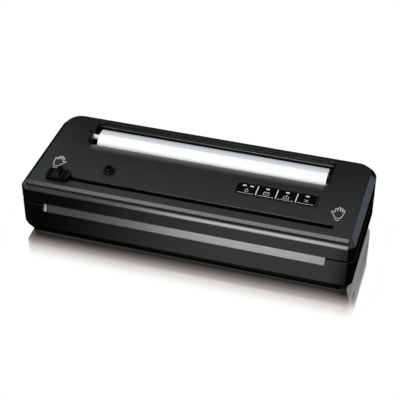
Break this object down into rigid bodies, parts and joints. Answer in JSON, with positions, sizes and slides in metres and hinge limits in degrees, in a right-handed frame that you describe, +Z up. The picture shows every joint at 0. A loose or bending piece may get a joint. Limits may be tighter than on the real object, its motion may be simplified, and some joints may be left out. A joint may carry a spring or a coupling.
{
  "type": "vacuum sealer",
  "caption": "Low wide countertop vacuum sealer: black hinged lid with an open film-roll well, sliding film cutter, hose port, push keys and side release buttons.",
  "frame": {"origin": "centre of the footprint on the floor, under the rubber feet", "axes": "+X to the right along the length, +Y to the rear where the lid hinges, +Z up"},
  "size_m": [0.4164, 0.166, 0.0885],
  "materials": {
    "lid_black": "satin gloss moulded ABS",
    "base_black": "satin gloss moulded ABS",
    "inner_black": "fine matte moulded ABS",
    "key_black": "polished black",
    "trim_silver": "silver painted plastic",
    "lamp_white": "clear lens over a white lamp",
    "film_white": "smooth embossed film",
    "core_card": "plain",
    "spindle_white": "smooth",
    "steel": "zinc plated",
    "blade_steel": "ground",
    "rubber_black": "moulded rubber",
    "foam_black": "closed-cell foam",
    "silicone_grey": "silicone",
    "heater_resin": "phenolic resin",
    "nichrome": "rolled ribbon",
    "tape_tan": "PTFE-coated glass cloth",
    "board_green": "solder mask",
    "part_grey": "moulded",
    "iron": "laminated",
    "winding_copper": "enamelled wire under tape",
    "hose_clear": "silicone hose"
  },
  "bodies": {
    "base": {"base_shell": "base_black", "rubber_feet": "rubber_black", "base_screws": "steel", "hinge_pins": "steel", "base_deck": "inner_black", "drip_tray": "inner_black", "drip_nozzle": "inner_black", "lower_gasket": "foam_black", "heater_bar": "heater_resin", "heating_ribbon": "nichrome", "seal_tape": "tape_tan", "latch_spring_right": "steel", "latch_spring_left": "steel", "pump_motor": "steel", "pump_head": "part_grey", "pump_mounts": "rubber_black", "vent_valve": "part_grey", "transformer_core": "iron", "transformer_winding": "winding_copper", "power_board": "board_green", "board_parts": "part_grey", "lid_switch": "part_grey", "power_inlet": "part_grey", "inlet_pins": "steel", "chamber_tube": "hose_clear", "suction_tube": "hose_clear"},
    "lid": {"lid_frame": "lid_black", "top_panel": "lid_black", "roll_tray": "lid_black", "lid_liner": "inner_black", "upper_gasket": "foam_black", "press_strip": "silicone_grey", "lid_screws": "steel", "latch_hooks": "inner_black", "cutter_rail": "inner_black", "hose_port": "inner_black", "port_nut": "inner_black", "port_sleeve": "silicone_grey", "control_bezel": "lid_black", "key_dividers": "trim_silver", "control_board": "board_green", "tact_switches": "part_grey"},
    "cutter": {"cutter_knob": "inner_black", "cutter_carriage": "inner_black", "cutter_blade": "blade_steel"},
    "spindle": {"roll_spindle": "spindle_white"},
    "roll": {"roll_core": "core_card", "film_roll": "film_white"},
    "release_right": {"release_button_right": "key_black", "latch_catch_right": "inner_black"},
    "release_left": {"release_button_left": "key_black", "latch_catch_left": "inner_black"},
    "key_1": {"key_1": "key_black", "key_lamp_1": "lamp_white"},
    "key_2": {"key_2": "key_black", "key_lamp_2": "lamp_white"},
    "key_3": {"key_3": "key_black", "key_lamp_3": "lamp_white"},
    "key_4": {"key_4": "key_black", "key_lamp_4": "lamp_white"}
  },
  "joints": [
    {"name": "lid_hinge", "type": "hinge", "parent": "base", "child": "lid", "pos_m": [0, 0.0795, 0.0505], "axis": [-1, 0, 0], "range_deg": [0, 75]},
    {"name": "cutter_slide", "type": "slide", "parent": "lid", "child": "cutter", "axis": [1, 0, 0], "range_m": [0, 0.328]},
    {"name": "spindle_lift", "type": "slide", "parent": "lid", "child": "spindle", "axis": [0, 0, 1], "range_m": [0, 0.09]},
    {"name": "roll_spin", "type": "hinge", "parent": "spindle", "child": "roll", "pos_m": [0, 0.046, 0.061], "axis": [1, 0, 0], "continuous": true},
    {"name": "release_right_push", "type": "slide", "parent": "base", "child": "release_right", "axis": [-1, 0, 0], "range_m": [0, 0.003], "stiffness_N_per_m": 600, "springref_m": -0.001, "deforming": ["latch_spring_right"]},
    {"name": "release_left_push", "type": "slide", "parent": "base", "child": "release_left", "axis": [1, 0, 0], "range_m": [0, 0.003], "stiffness_N_per_m": 600, "springref_m": -0.001, "deforming": ["latch_spring_left"]},
    {"name": "key_1_press", "type": "slide", "parent": "lid", "child": "key_1", "axis": [0, 0, -1], "range_m": [0, 0.001], "stiffness_N_per_m": 800, "springref_m": -0.0005},
    {"name": "key_2_press", "type": "slide", "parent": "lid", "child": "key_2", "axis": [0, 0, -1], "range_m": [0, 0.001], "stiffness_N_per_m": 800, "springref_m": -0.0005},
    {"name": "key_3_press", "type": "slide", "parent": "lid", "child": "key_3", "axis": [0, 0, -1], "range_m": [0, 0.001], "stiffness_N_per_m": 800, "springref_m": -0.0005},
    {"name": "key_4_press", "type": "slide", "parent": "lid", "child": "key_4", "axis": [0, 0, -1], "range_m": [0, 0.001], "stiffness_N_per_m": 800, "springref_m": -0.0005}
  ]
}
